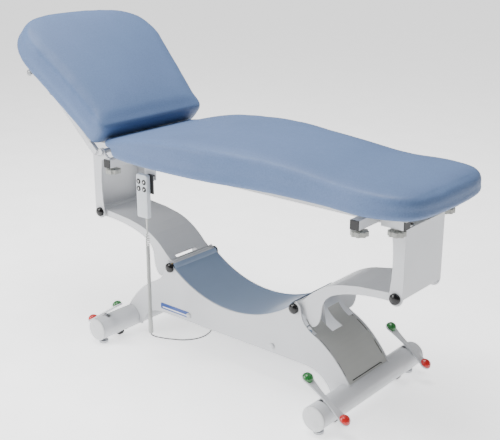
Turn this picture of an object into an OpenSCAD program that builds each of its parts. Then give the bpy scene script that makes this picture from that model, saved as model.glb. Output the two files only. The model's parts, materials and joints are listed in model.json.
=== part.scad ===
// Height-adjustable examination couch.
// +X points to the foot end, +Y to the far side, +Z up.
// The origin is on the floor under the middle of the whole couch.
// Rest pose: arms 20 degrees up, back section raised by back_angle.

/* [Base] */
// Half the distance between the two lower pivots of the arms
pivot_x = 291; // [288:1:294]
// Height of the lower pivots
pivot_z = 317; // [314:1:320]
// Half the width over the side plates
plate_y = 120; // [119:0.5:122]
// Thickness of the side plates
plate_t = 4; // [3:0.5:4]
// Height of the straight lower edge of the side plates
plate_low = 123; // [120:1:125]
// Radius of the curved dip between the ears
dip_r = 450; // [446:1:454]
// Height of the middle of the dip
dip_low = 228; // [226:1:232]
// Half the distance between the two floor tubes
tube_x = 511.5; // [510:0.5:514]
// Height of the middle of the floor tubes
tube_z = 62; // [61:0.5:63]
// Outer radius of the floor tubes
tube_r = 43; // [42:0.5:43.5]
// Half the length of the floor tubes
tube_half = 300; // [290:1:310]

/* [Lift] */
// Half the distance between the two outer pivots of the arms
outer_x = 674; // [670:1:678]
// Height of the outer pivots
outer_z = 456; // [452:1:460]
// Half the width over the arms
arm_y = 104; // [103:0.5:105]
// Length of the levers that the lift actuator pushes
lever_r = 142; // [140:1:144]
// Angle of those levers from level
lever_a = -80; // [-82:1:-78]
// Radius of the pivot shafts
shaft_r = 10; // [9:0.5:11]

/* [Bed] */
// Height of the underside of the upholstered boards
bed_z = 740; // [740:1:744]
// Half the width over the long rails
rail_y = 118; // [118:0.5:119]
// Height of the rails' section
rail_h = 52; // [50:1:54]
// Thickness of the boards under the upholstery
board_t = 12; // [9:1:15]
// Side of the square accessory sockets
socket_s = 30; // [28:1:32]

/* [Back section] */
// Distance of the back section's hinge from the middle
hinge_x = -505; // [-507:1:-503]
// Height of the hinge
hinge_z = 750; // [749:1:752]
// Angle of the back section above level
back_angle = 42; // [41:1:43]
// Thickness of the back pad
back_pad_t = 109; // [100:1:112]
// Depth of the actuator rod below the hinge
yoke_h = 68; // [66:1:70]

/* [Handset] */
// Width of the handset
handset_w = 54; // [52:1:56]
// Length of the handset
handset_l = 158; // [150:1:160]
// Depth of the handset
handset_d = 19; // [18:0.5:20]

/* [Cord] */
// Outer diameter of the curly part
coil_d = 15; // [13:1:16]
// Diameter of the straight cable
cable_d = 5; // [4:0.5:5]

/* [Hidden] */

$fn = 64;
gap = 0.3;
fit = 0.05;
white = "#e8e9ea";
grey = "#b9bab8";
blue = "#7f9dc6";
black = "#1c1c1e";
steel = "#9da1a6";

// The drawing's x = 0 is the middle of the base; the part's origin is the middle of its length.
origin_shift = 68.35;

module at_origin() { translate([origin_shift, 0, 0]) children(); }

// Points of a quadratic curve from a to c, pulled towards b.
function curve(a, b, c, n = 8) = [
  for (i = [0 : n]) let (t = i / n) (1 - t) * (1 - t) * a + 2 * t * (1 - t) * b + t * t * c
];

// The same curve moved sideways by d, to the right of its direction.
function curve_offset(a, b, c, d, n = 10) = [
  for (i = [0 : n])
    let (
      t = i / n,
      p = (1 - t) * (1 - t) * a + 2 * t * (1 - t) * b + t * t * c,
      v = 2 * (1 - t) * (b - a) + 2 * t * (c - b)
    )
    p + d * [v[1], -v[0]] / norm(v)
];

function reversed(list) = [for (i = [len(list) - 1 : -1 : 0]) list[i]];
function turned(list) = [for (i = [len(list) - 1 : -1 : 0]) [-list[i][0], list[i][1]]];
// The same points on the other side of the middle line, in reverse, without the shared last one.
function across(list) = [for (i = [len(list) - 2 : -1 : 0]) [list[i][0], -list[i][1]]];
function shifted(list, v) = [for (p = list) p + v];

// Draws its 2D children in the XZ plane, between y0 and y1.
module slab(y0, y1) {
  translate([0, y1, 0]) rotate([90, 0, 0]) linear_extrude(y1 - y0) children();
}

// Round bar along Y.
module y_bar(x, z, r, y0, y1) {
  translate([x, y0, z]) rotate([-90, 0, 0]) cylinder(r = r, h = y1 - y0);
}

// Its children, and the same again on the other side of the couch.
module both_sides() {
  children();
  mirror([0, 1, 0]) children();
}

module both_ends() {
  children();
  mirror([1, 0, 0]) children();
}

// Dome cap on a bar's end, standing out to +Y from y.
module dome(x, y, z, r, h) {
  translate([x, y, z]) rotate([-90, 0, 0]) rotate_extrude()
    polygon(concat([[0, 0], [r, 0]], [for (a = [0 : 15 : 90]) [r * cos(a), h * 0.35 + h * 0.65 * sin(a)]]));
}

// ---- Base ----

dip_z = dip_low + dip_r;
ear_r = 27;

// Outer edge of one half of a side plate, from the ear down to the floor tube.
edge_a = [318, 317];
edge_b = [322, 268];
edge_c = [372, 244];
edge_d = [462, 206];
edge_e = [535, 88];

half_edge = concat(
  curve([342, plate_low], [425, plate_low - 2], [455, 40]),
  [[511, 40]],
  reversed(curve(edge_c, edge_d, edge_e, 10)),
  reversed(curve(edge_a, edge_b, edge_c, 6)),
  [[pivot_x, pivot_z + 10]]
);

module side_plate() {
  slab(-plate_y, -plate_y + plate_t) difference() {
    union() {
      polygon(concat(half_edge, turned(half_edge)));
      for (side = [-1, 1]) translate([side * pivot_x, pivot_z]) circle(ear_r);
    }
    translate([0, dip_z]) circle(dip_r, $fn = 180);
    for (side = [-1, 1]) {
      translate([side * tube_x, tube_z]) circle(tube_r + 0.2);
      translate([side * pivot_x, pivot_z]) circle(shaft_r + fit);
    }
  }
}

module side_plate_near() { at_origin() color(white) side_plate(); }
module side_plate_far() { at_origin() color(white) mirror([0, 1, 0]) side_plate(); }

// Curved sheet that closes the dip between the side plates.
panel_t = 2;
inner_y = plate_y - plate_t - 0.3;
dip_end_x = 269;
wrap_r = 20.6;
wrap_from = 128;
wrap_to = 183;

module trough_panel() {
  at_origin() color(blue) intersection() {
    difference() {
      y_bar(0, dip_z, dip_r + panel_t, -inner_y, inner_y, $fn = 180);
      y_bar(0, dip_z, dip_r, -inner_y - 1, inner_y + 1, $fn = 180);
    }
    translate([-dip_end_x, -inner_y, dip_low - 10]) cube([2 * dip_end_x, 2 * inner_y, 120]);
  }
  at_origin() color(blue) both_ends() slab(-inner_y, inner_y) polygon(concat(
    [for (a = [wrap_from : 5 : wrap_to]) [pivot_x, pivot_z] + (wrap_r + panel_t) * [cos(a), sin(a)]],
    [for (a = [wrap_to : -5 : wrap_from]) [pivot_x, pivot_z] + wrap_r * [cos(a), sin(a)]]
  ));
}

// Curved sheet from between the arm's lobes down to each floor tube, with a notch for the lever.
cover_in = 5;
cover_t = 2.5;
notch_y = 30;
notch_x = 388;
cover_out = curve_offset(edge_c, edge_d, edge_e, cover_in);
cover_under = curve_offset(edge_c, edge_d, edge_e, cover_in + cover_t);
// Half the width of the cover's upper part, which passes between the arm's lobes.
apron_y = 94;
apron_skip = 4;
// The lower part of a list of points, without its first few and its last.
function up_to_last(list) = [for (i = [apron_skip : len(list) - 2]) list[i]];

module cover_panel() {
  difference() {
    union() {
      slab(-inner_y, inner_y) polygon(concat(cover_out, reversed(cover_under)));
      slab(-apron_y, apron_y) polygon(concat(
        [cover_under[0], cover_out[0]],
        reversed(up_to_last(curve_offset(edge_a, edge_b, edge_c, cover_in))),
        up_to_last(curve_offset(edge_a, edge_b, edge_c, cover_in + cover_t))
      ));
    }
    y_bar(tube_x, tube_z, tube_r + 0.3, -plate_y, plate_y);
    translate([300, -notch_y, 180]) cube([notch_x - 300, 2 * notch_y, 120]);
  }
}

module cover_panels() { at_origin() color(grey) both_ends() cover_panel(); }

// Floor tube: pedal slots on top, wheel pockets and foot holes beneath.
tube_wall = 4;
pedal_y = 250;
pedal_lean = 10;
pedal_travel = 20;
slot_w = 16;
wheel_y = 190;
foot_y = 272;
stem_r = 6;

module floor_tube() {
  difference() {
    y_bar(tube_x, tube_z, tube_r, -tube_half, tube_half);
    y_bar(tube_x, tube_z, tube_r - tube_wall, -tube_half - 1, tube_half + 1);
    both_sides() {
      translate([tube_x, -pedal_y, tube_z]) rotate([0, -90, 0])
        slab(-slot_w / 2, slot_w / 2) polygon(concat([[0, 0]],
          [for (a = [-pedal_lean - 9 : 5 : pedal_travel + 1]) 60 * [cos(a), sin(a)]]));
      translate([tube_x - 32, -wheel_y - 16, 0]) cube([64, 32, 40]);
      translate([tube_x, -foot_y, 0]) cylinder(r = stem_r + gap, h = 40);
    }
  }
}

module floor_tubes() { at_origin() color(white) both_ends() floor_tube(); }

// Flat plug that closes each end of a floor tube.
module end_cap() {
  y_bar(tube_x, tube_z, tube_r - tube_wall - 0.2, tube_half - 14, tube_half);
  dome(tube_x, tube_half, tube_z, tube_r, 9);
}

module tube_end_caps() { at_origin() color(white) both_ends() both_sides() end_cap(); }

// Rods that tie the side plates together, with dome nuts outside.
brace_x = 199;
brace_z = 149.5;

module cross_braces() {
  at_origin() color(white) both_ends() {
    y_bar(brace_x, brace_z, 4, -inner_y, inner_y);
    both_sides() dome(brace_x, plate_y, brace_z, 10, 8);
  }
}

// Control box behind the near plate; the cable's slack lies in its slotted end.
box_x0 = -150;
box_x1 = 120;
box_z0 = 128;
box_z1 = 200;
box_y0 = -112;
box_y1 = -62;

module control_box() {
  at_origin() color(grey) difference() {
    translate([box_x0, box_y0, box_z0]) cube([box_x1 - box_x0, box_y1 - box_y0, box_z1 - box_z0]);
    translate([box_x0 + 3, box_y0 + 3, box_z0 + 3]) cube([170, box_y1 - box_y0 - 6, 50]);
    translate([box_x0 + 12, -108, box_z0 - 1]) cube([150, 23, 6]);
  }
}

// Lower pivot shafts with their black dome caps.
cap_r = 18.5;
cap_h = 15;

module pivot_shaft(x, z, y) {
  y_bar(x, z, shaft_r, -y, y);
  both_sides() dome(x, y, z, cap_r, cap_h);
}

module base_pivots() { at_origin() color(black) both_ends() pivot_shaft(pivot_x, pivot_z, plate_y); }

module levelling_feet() {
  at_origin() color(steel) both_ends() both_sides() {
    translate([tube_x, foot_y, 0]) cylinder(r1 = 16, r2 = 18, h = 3);
    translate([tube_x, foot_y, 3]) cylinder(r = 18, h = 7);
    translate([tube_x, foot_y, 10]) cylinder(r = stem_r, h = 42);
  }
}

// ---- Pedals and castors ----

pedal_shaft_r = 9;
pedal_half = 88;
pedal_end_r = 20;
pedal_bar_half = 9;
grip_r = 19;
grip_h = 16;
pedal_lift = 52;
pedal_tilt = 34;

// Runs its children in the frame of a pedal bar: origin at the bar's middle, X along it.
module at_pedal() {
  translate([tube_x, 0, tube_z]) rotate([0, pedal_lean, 0])
    translate([0, -pedal_y, pedal_lift]) rotate([0, pedal_tilt - pedal_lean, 0]) children();
}

// Rocker lever: a narrow waist that widens to a round pad at each end.
module pedal_lever() {
  at_pedal() difference() {
    union() {
      translate([0, 0, -3]) linear_extrude(6) polygon(concat(
        curve([-pedal_half, pedal_end_r], [-pedal_half + 44, pedal_bar_half], [0, pedal_bar_half], 5),
        curve([0, pedal_bar_half], [pedal_half - 44, pedal_bar_half], [pedal_half, pedal_end_r], 5),
        curve([pedal_half, -pedal_end_r], [pedal_half - 44, -pedal_bar_half], [0, -pedal_bar_half], 5),
        curve([0, -pedal_bar_half], [-pedal_half + 44, -pedal_bar_half], [-pedal_half, -pedal_end_r], 5)
      ));
      for (x = [-pedal_half, pedal_half]) translate([x, 0, -3]) cylinder(r = pedal_end_r, h = 6);
    }
    for (x = [-pedal_half, pedal_half]) translate([x, 0, -5]) cylinder(r = 3, h = 10);
  }
}

module pedal_bars() {
  y_bar(tube_x, tube_z, pedal_shaft_r, -pedal_y - 20, pedal_y + 20);
  both_sides() {
    pedal_lever();
    translate([tube_x, -pedal_y, tube_z]) rotate([0, pedal_lean, 0])
      translate([0, 0, pedal_shaft_r - 2]) cylinder(r = 6, h = pedal_lift - pedal_shaft_r - 2);
  }
}

// Half-round grip on a lever's end: side is -1 for the inner end, 1 for the outer.
module pedal_grip(side) {
  both_sides() at_pedal() translate([side * pedal_half, 0, 3]) rotate_extrude()
    polygon(concat([[0, 0]], [for (a = [0 : 15 : 90]) [grip_r * cos(a), grip_h * sin(a)]]));
}

module foot_pedal_bars() { at_origin() color(white) pedal_bars(); }
module foot_pedal_green() { at_origin() color("#2c8a3c") pedal_grip(-1); }
module foot_pedal_red() { at_origin() color("#d8322c") pedal_grip(1); }
module head_pedal_bars() { at_origin() color(white) mirror([1, 0, 0]) pedal_bars(); }
module head_pedal_green() { at_origin() color("#2c8a3c") mirror([1, 0, 0]) pedal_grip(-1); }
module head_pedal_red() { at_origin() color("#d8322c") mirror([1, 0, 0]) pedal_grip(1); }

wheel_r = 20;
wheel_clear = 3.5;
wheel_w = 20;
axle_z = wheel_r + wheel_clear;
axle_r = 4;
cradle_z = 45;

// Cradle inside the tube that carries the two wheels and is pushed down by the pedals.
module castor_carrier() {
  difference() {
    union() {
      translate([tube_x - 20, -wheel_y - 32, cradle_z]) cube([40, 2 * wheel_y + 64, 5]);
      both_sides() for (y = [-wheel_y - 15, -wheel_y + 11])
        translate([tube_x - 10, y, axle_z - 8]) cube([20, 4, cradle_z + 1 - axle_z + 8]);
    }
    y_bar(tube_x, axle_z, axle_r + fit, -wheel_y - 40, wheel_y + 40);
  }
}

module wheelset() {
  both_sides() {
    y_bar(tube_x, axle_z, axle_r, -wheel_y - 16, -wheel_y + 16);
    translate([tube_x, -wheel_y, axle_z]) rotate([90, 0, 0]) rotate_extrude() polygon([
      [axle_r, -wheel_w / 2], [wheel_r - 3, -wheel_w / 2], [wheel_r, -wheel_w / 2 + 4],
      [wheel_r, wheel_w / 2 - 4], [wheel_r - 3, wheel_w / 2], [axle_r, wheel_w / 2]
    ]);
  }
}

module foot_castor_carrier() { at_origin() color(steel) castor_carrier(); }
module head_castor_carrier() { at_origin() color(steel) mirror([1, 0, 0]) castor_carrier(); }
module foot_wheelset() { at_origin() color(black) wheelset(); }
module head_wheelset() { at_origin() color(black) mirror([1, 0, 0]) wheelset(); }

// ---- Arms ----

arm_t = 4;
hub_r = 20;
hub_tube_r = 18;
bush_t = 3;

// Upper edge of an arm, from over the lower pivot to over the outer one.
arm_top = concat(
  [[302, 340]],
  curve([320, 353], [393, 433], [490, 447], 8),
  curve([530, 455], [590, 460], [652, 466], 4)
);
// Lower edge, back again, with the lobe that hangs beside the lower pivot.
arm_low = concat(
  curve([656, 438], [520, 436], [436, 398], 8),
  curve([425, 391], [392, 368], [392, 330], 6),
  curve([391, 322], [386, 270], [357, 262], 6),
  [[344, 272], [331, 290], [305, 303]]
);

module arm_outline() {
  difference() {
    union() {
      polygon(concat(arm_top, [[outer_x, outer_z + hub_r]], [[outer_x, outer_z - hub_r]], arm_low));
      translate([pivot_x, pivot_z]) circle(hub_r);
      translate([outer_x, outer_z]) circle(hub_r);
      polygon([[pivot_x - 2, pivot_z + 19], [302, 340], [331, 290], [305, 303]]);
    }
    for (p = [[pivot_x, pivot_z], [outer_x, outer_z]]) translate(p) circle(shaft_r + bush_t);
  }
}

lever_end = [pivot_x + lever_r * cos(lever_a), pivot_z + lever_r * sin(lever_a)];
pin_r = 8;
lug_y0 = 14;
lug_y1 = 22;

// Plate from the lower hub down to the lift actuator's pin.
module lever_lug() {
  difference() {
    slab(lug_y0, lug_y1) difference() {
      hull() {
        translate([pivot_x, pivot_z]) circle(hub_tube_r - 2);
        translate(lever_end) circle(15);
      }
      translate([pivot_x, pivot_z]) circle(shaft_r + bush_t);
    }
    y_bar(lever_end[0], lever_end[1], pin_r + fit, lug_y0 - 1, lug_y1 + 1);
  }
}

// A folded channel: side flanges, a web over them, and a cross tube at each end.
module arm() {
  both_sides() slab(-arm_y, -arm_y + arm_t) arm_outline();
  difference() {
    slab(-arm_y + arm_t, arm_y - arm_t)
      polygon(concat(arm_top, reversed(shifted(arm_top, [1, -arm_t]))));
    y_bar(pivot_x, pivot_z, hub_tube_r, -arm_y, arm_y);
  }
  difference() {
    union() {
      y_bar(pivot_x, pivot_z, hub_tube_r, -arm_y + arm_t, arm_y - arm_t);
      y_bar(outer_x, outer_z, hub_tube_r - 2, -arm_y + arm_t, arm_y - arm_t);
      translate([290, -arm_y + arm_t, 333]) cube([14, 2 * (arm_y - arm_t), 4]);
      translate([650, -arm_y + arm_t, 461]) cube([14, 2 * (arm_y - arm_t), 4]);
    }
    y_bar(pivot_x, pivot_z, shaft_r + bush_t, -arm_y, arm_y);
    y_bar(outer_x, outer_z, shaft_r + bush_t, -arm_y, arm_y);
  }
  both_sides() lever_lug();
}

module foot_arm() { at_origin() color(white) arm(); }

module head_arm() {
  at_origin() color(white) mirror([1, 0, 0]) difference() {
    arm();
    translate([304, -70, 320]) cube([12, 111, 60]);
  }
}

bush_l = 40;

module arm_bushes() {
  both_sides() for (p = [[pivot_x, pivot_z], [outer_x, outer_z]]) difference() {
    y_bar(p[0], p[1], shaft_r + bush_t, -arm_y, -arm_y + bush_l);
    y_bar(p[0], p[1], shaft_r + fit, -arm_y - 1, -arm_y + bush_l + 1);
  }
}

module foot_arm_bushes() { at_origin() color("#b58a4a") arm_bushes(); }
module head_arm_bushes() { at_origin() color("#b58a4a") mirror([1, 0, 0]) arm_bushes(); }

// ---- Lift actuator ----

act_r = 20;
act_bore = 15;
act_rod_r = 12;
piston_l = 40;
act_neck = 34;
act_tube1 = 390;
rod_l = 388;
eye_r = 14;
motor_y = 46;

// Eye with its pin, at the lever on either side.
module actuator_eye(x) {
  difference() {
    y_bar(x, lever_end[1], eye_r, -lug_y0 + 1, lug_y0 - 1);
    y_bar(x, lever_end[1], pin_r, -lug_y0, lug_y0);
  }
  y_bar(x, lever_end[1], pin_r, -lug_y1 - 4, lug_y1 + 4);
}

module lift_actuator_body() {
  x0 = -lever_end[0];
  at_origin() color(steel) {
    actuator_eye(x0);
    difference() {
      translate([x0 + eye_r - 5, 1 - lug_y0, lever_end[1] - 10]) cube([act_neck - eye_r + 6, 2 * lug_y0 - 2, 20]);
      y_bar(x0, lever_end[1], pin_r, -40, 40);
    }
    translate([x0, 0, lever_end[1]]) rotate([0, 90, 0]) difference() {
      translate([0, 0, act_neck]) cylinder(r = act_r, h = act_tube1 - act_neck);
      translate([0, 0, act_neck + 3]) cylinder(r = act_bore, h = act_tube1);
    }
    translate([x0 + 40, act_r - 4, lever_end[1] - 14]) difference() {
      cube([46, 20, 28]);
      translate([-1, 4 - act_r, 14]) rotate([0, 90, 0]) cylinder(r = act_r, h = 60);
    }
    translate([x0 + 38, motor_y, lever_end[1]]) rotate([0, 90, 0]) cylinder(r = 17, h = 150);
  }
}

module lift_actuator_rod() {
  at_origin() color(steel) {
    actuator_eye(lever_end[0]);
    difference() {
      translate([lever_end[0] - rod_l, 0, lever_end[1]]) rotate([0, 90, 0]) {
        cylinder(r = act_rod_r, h = rod_l);
        cylinder(r = act_bore - 0.4, h = piston_l);
      }
      y_bar(lever_end[0], lever_end[1], eye_r, -40, 40);
    }
  }
}

// ---- Brackets between arms and bed ----

brk_y0 = 112;
brk_y1 = 116;
brk_x = 700;
brk_top = bed_z - rail_h - 3;
brk_low = outer_z + 2;

module bracket_flange() {
  difference() {
    union() {
      polygon(concat(
        [[brk_x, brk_low], [brk_x, brk_top], [648, brk_top]],
        curve([648, brk_top], [668, 575], [650, outer_z], 8)
      ));
      translate([outer_x, outer_z]) circle(25);
    }
    translate([outer_x, outer_z]) circle(shaft_r + fit);
    translate([brk_x, 300]) square([60, 400]);
  }
}

// Upright channel: a web on the outer side and two flanges facing inwards.
module bracket() {
  both_sides() slab(-brk_y1, -brk_y0) bracket_flange();
  translate([brk_x - 4, -brk_y0, brk_low]) cube([4, 2 * brk_y0, brk_top - brk_low]);
  translate([648, -brk_y0, brk_top - 4]) cube([brk_x - 652, 2 * brk_y0, 4]);
}

module foot_bracket() { at_origin() color(white) bracket(); }

module head_bracket() {
  at_origin() color(white) mirror([1, 0, 0]) {
    bracket();
    both_sides() translate([652, -brk_y1 + 4, brk_top]) cube([44, 26, 3]);
  }
}

module foot_outer_pivot() { at_origin() color(black) pivot_shaft(outer_x, outer_z, brk_y1); }
module head_outer_pivot() { at_origin() color(black) mirror([1, 0, 0]) pivot_shaft(outer_x, outer_z, brk_y1); }

// Plastic blocks on the foot bracket that run inside the open rails.
lip = 34;
rail_t = 4;

slide_x0 = 570;
slide_l = 120;
slide_y = rail_y - lip - 0.6;

module slide_blocks() {
  at_origin() color(black) both_sides() {
    translate([slide_x0, -rail_y + rail_t + 0.6, bed_z - rail_h + rail_t + 0.6])
      cube([slide_l, lip - rail_t + 0.4, rail_h - 2 * rail_t - 1.2]);
    translate([slide_x0, -slide_y, brk_top]) cube([slide_l, 10, rail_h - 4]);
    translate([slide_x0, -slide_y, brk_top]) cube([slide_l, 24, 4]);
  }
}

// ---- Bed frame ----

rail_x0 = -690;
rail_x1 = 700;

module bed_rails() {
  at_origin() color(white) both_sides() translate([rail_x0, -rail_y, bed_z - rail_h]) difference() {
    cube([rail_x1 - rail_x0, lip, rail_h]);
    translate([-1, rail_t, rail_t]) cube([rail_x1 - rail_x0 + 2, lip, rail_h - 2 * rail_t]);
  }
}

cross_y = rail_y - lip;

// Flat bars between the rails, high enough for what runs beneath them,
// and the outrigger with the tab that the handset hangs on.
tab_x0 = -290;
tab_w = 54;
tab_y = -232;
tab_t = 3;
lip_y = -241.5;
lip_h = 16;
hook_z = bed_z - 50;

module cross_members() {
  at_origin() color(white) {
    for (x = [-640, -20, 320]) translate([x, -cross_y, bed_z - 18]) cube([40, 2 * cross_y, 14]);
    translate([-180, -cross_y, bed_z - 18]) cube([30, 2 * cross_y, 14]);
    translate([tab_x0, tab_y, bed_z - 8]) cube([tab_w, -tab_y - rail_y, 8]);
    translate([tab_x0, tab_y, hook_z]) cube([tab_w, tab_t, bed_z - hook_z]);
    translate([tab_x0, lip_y, hook_z]) cube([tab_w, tab_y + tab_t - lip_y, tab_t]);
    translate([tab_x0, lip_y, hook_z]) cube([tab_w, tab_t, lip_h]);
  }
}

socket_z = bed_z - 28;
socket_wall = 2.5;
side_socket_end = 245;
side_socket_x = [-470, 602];
end_socket_y = 148;
end_socket_x0 = 640;
end_socket_x1 = 717;
screw_r = 4;

// Square tube of length l along X, from the origin.
module square_tube(l) {
  difference() {
    translate([0, -socket_s / 2, -socket_s / 2]) cube([l, socket_s, socket_s]);
    translate([-1, -socket_s / 2 + socket_wall, -socket_s / 2 + socket_wall])
      cube([l + 2, socket_s - 2 * socket_wall, socket_s - 2 * socket_wall]);
  }
}

module accessory_sockets() {
  at_origin() color(white) both_sides() {
    for (x = side_socket_x) {
      translate([x, -rail_y, socket_z]) rotate([0, 0, -90]) difference() {
        square_tube(side_socket_end - rail_y);
        translate([side_socket_end - rail_y - 27, 0, -30]) cylinder(r = screw_r + fit, h = 30);
      }
    }
    translate([end_socket_x0, -end_socket_y, socket_z]) difference() {
      square_tube(end_socket_x1 - end_socket_x0);
      translate([end_socket_x1 - end_socket_x0 - 30, 0, -30]) cylinder(r = screw_r + fit, h = 30);
    }
    translate([end_socket_x0, -end_socket_y + socket_s / 2, socket_z - 12]) cube([50, 15, 24]);
  }
}

// Black plug in a socket's mouth, which faces +X.
module plug() {
  c = socket_s - 2 * socket_wall;
  translate([-14, -c / 2 + 0.1, -c / 2 + 0.1]) cube([14, c - 0.2, c - 0.2]);
  translate([0, -socket_s / 2, -socket_s / 2]) cube([4, socket_s, socket_s]);
}

module socket_plugs() {
  at_origin() color(black) both_sides() {
    for (x = side_socket_x) translate([x, -side_socket_end, socket_z]) rotate([0, 0, -90]) plug();
    translate([end_socket_x1, -end_socket_y, socket_z]) plug();
  }
}

// Fluted hand knob on a clamp screw, below a socket.
knob_r = 28;
knob_h = 15;
knob_drop = 9;

module knob(x, y) {
  at_origin() color("#d4d5d3") translate([x, y, socket_z - socket_s / 2]) {
    translate([0, 0, -knob_drop - knob_h]) difference() {
      cylinder(r = knob_r, h = knob_h);
      for (a = [0 : 45 : 315]) rotate([0, 0, a]) translate([knob_r + 5, 0, -1])
        cylinder(r = 9, h = knob_h + 2);
      translate([0, 0, -1]) cylinder(r = 6, h = 4);
    }
    translate([0, 0, -knob_drop]) cylinder(r = 9, h = knob_drop - 0.5);
    translate([0, 0, -1]) cylinder(r = screw_r, h = socket_wall + 5);
  }
}

side_knob_y = side_socket_end - 27;
end_knob_x = end_socket_x1 - 30;

module knob_head_near() { knob(side_socket_x[0], -side_knob_y); }
module knob_head_far() { knob(side_socket_x[0], side_knob_y); }
module knob_foot_near() { knob(side_socket_x[1], -side_knob_y); }
module knob_foot_far() { knob(side_socket_x[1], side_knob_y); }
module knob_end_near() { knob(end_knob_x, -end_socket_y); }
module knob_end_far() { knob(end_knob_x, end_socket_y); }

lug_in = 232;
lug_out = 240;
hinge_pin_r = 7;

// Hinge cheeks that stand on the head-end sockets.
module hinge_lugs() {
  z0 = socket_z + socket_s / 2;
  at_origin() color(white) both_sides() {
    difference() {
      slab(-lug_out, -lug_in) difference() {
        union() {
          translate([hinge_x, hinge_z]) circle(13);
          polygon([[hinge_x - 12, hinge_z - 5], [hinge_x + 10, hinge_z + 8], [-482, 738],
            [-460, z0], [-486, z0], [-510, 716]]);
        }
        translate([hinge_x, hinge_z]) circle(hinge_pin_r + fit);
      }
      translate([-486, -250, 700]) cube([40, 30, z0 - 700]);
    }
  }
}

// ---- Main section ----

// Near half of the main pad's outline: rounded head corner, wide hips, waist and foot corner.
main_edge = concat(
  curve([-512, -218], [-512, -236], [-494, -238], 4),
  curve([-476, -242], [-390, -284], [-230, -288], 8),
  curve([-200, -289], [20, -292], [130, -266], 8),
  curve([160, -260], [270, -241], [400, -241], 8),
  curve([430, -241], [500, -243], [560, -252], 5),
  curve([590, -257], [716, -267], [768, -220], 8),
  curve([778, -210], [806, -172], [806, 0], 8)
);

// Side profile of the main pad: thick in the middle and thinner towards the ends.
main_profile = concat(
  [[806, bed_z], [-512, bed_z]],
  curve([-512, 776], [-511, 792], [-482, 797], 4),
  curve([-460, 800], [-340, 838], [-240, 847], 6),
  curve([-220, 849], [-100, 861], [0, 861], 6),
  curve([20, 861], [250, 858], [470, 828], 8),
  curve([490, 826], [650, 824], [780, 822], 4),
  [[806, 812]]
);

// The board lies in a pocket under the pad.
board_x0 = -472;
board_x1 = 750;
board_y = 205;

module main_board() {
  at_origin() color("#c9cbcc") translate([board_x0, -board_y, bed_z])
    cube([board_x1 - board_x0, 2 * board_y, board_t]);
}

module main_pad() {
  at_origin() color(blue) difference() {
    intersection() {
      translate([0, 0, bed_z]) linear_extrude(130) polygon(concat(main_edge, across(main_edge)));
      slab(-320, 320) polygon(main_profile);
    }
    translate([board_x0 - gap, -board_y - gap, bed_z - 1])
      cube([board_x1 - board_x0 + 2 * gap, 2 * (board_y + gap), board_t + 1]);
    // Room for the hinge under the head end.
    translate([-513, -250, bed_z - 1]) cube([61, 500, 27]);
    translate([-453, -300, bed_z - 1]) cube([23, 600, board_t + 1]);
  }
}

// ---- Back section ----
// Drawn lying flat and turned up about the hinge by back_angle.
// s runs from the hinge towards the head, n away from the boards' underside.

module at_back(angle = back_angle) {
  translate([hinge_x, 0, hinge_z]) rotate([0, angle, 0]) mirror([1, 0, 0]) children();
}

back_rail_y = 243;
back_rail_w = 15;
back_rail_end = 470;
axle_s = 305;
lever_slot_w = 21;
torque_r = 9;
lever_y0 = 15;
lever_y1 = 21;

// Lever below the torque tube; the actuator's pin slides in its slot.
module yoke_lever() {
  slab(lever_y0, lever_y1) difference() {
    hull() {
      circle(torque_r + 4);
      translate([0, -yoke_h - 26]) circle(18);
    }
    hull() {
      translate([0, -yoke_h + 2]) circle(lever_slot_w / 2);
      translate([0, -yoke_h - 26]) circle(lever_slot_w / 2);
    }
    circle(torque_r - 1);
  }
}

module back_frame() {
  at_origin() color(white) {
    at_back() {
      both_sides() {
        difference() {
          union() {
            translate([8, back_rail_y, -25]) cube([back_rail_end - 8, back_rail_w, 25]);
            slab(back_rail_y, back_rail_y + 6) circle(12);
            translate([-3, back_rail_y, -22]) cube([14, 6, 18]);
          }
          y_bar(axle_s, -15, 6, 200, 300);
        }
        y_bar(0, 0, hinge_pin_r, lug_in - 3, back_rail_y);
        y_bar(0, 0, torque_r, 0, lug_in - 1);
        slab(back_rail_y, back_rail_y + 6) difference() {
          union() {
            translate([roll_s, roll_n]) circle(15);
            translate([roll_s - 12, roll_n]) square([24, 30]);
          }
          translate([roll_s, roll_n]) circle(roll_r + fit);
        }
      }
      y_bar(axle_s, -15, 6, -back_rail_y - back_rail_w, back_rail_y + back_rail_w);
      translate([back_rail_end - 20, -back_rail_y, -25]) cube([16, 2 * back_rail_y, 20]);
    }
    translate([hinge_x, 0, hinge_z]) both_sides() yoke_lever();
  }
}

module back_axle_caps() {
  at_origin() color(black) at_back() both_sides() dome(axle_s, back_rail_y + back_rail_w, -15, 12, 12);
}

// Half outline of the back pad, seen square on: wide rounded head end.
back_low = 31;
back_edge = concat(
  [[back_low, 242]],
  curve([back_low, 254], [back_low + 3, 266], [60, 268], 4),
  curve([92, 269], [250, 291], [400, 316], 6),
  curve([420, 319], [536, 326], [584, 230], 10),
  curve([589, 218], [628, 130], [628, 0], 8)
);

module back_outline() {
  polygon(concat(back_edge, across(back_edge)));
}

module back_board() {
  at_origin() color("#c9cbcc") at_back() linear_extrude(board_t) intersection() {
    back_outline();
    translate([52, -262]) square([500, 524]);
  }
}

module back_pad() {
  at_origin() color(blue) at_back() intersection() {
    translate([0, 0, board_t + 0.2]) linear_extrude(130) back_outline();
    slab(-340, 340) polygon(concat(
      [[40, board_t + 0.2], [40, 40], [34, 80]],
      curve([back_low + 1, 94], [back_low + 1, back_pad_t], [54, back_pad_t + 1], 5),
      curve([124, back_pad_t + 4], [300, back_pad_t + 10], [440, back_pad_t + 1], 6),
      curve([470, back_pad_t - 2], [628, back_pad_t - 16], [628, 56], 8),
      [[620, 38], [600, board_t + 0.2]]
    ));
  }
}

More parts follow.
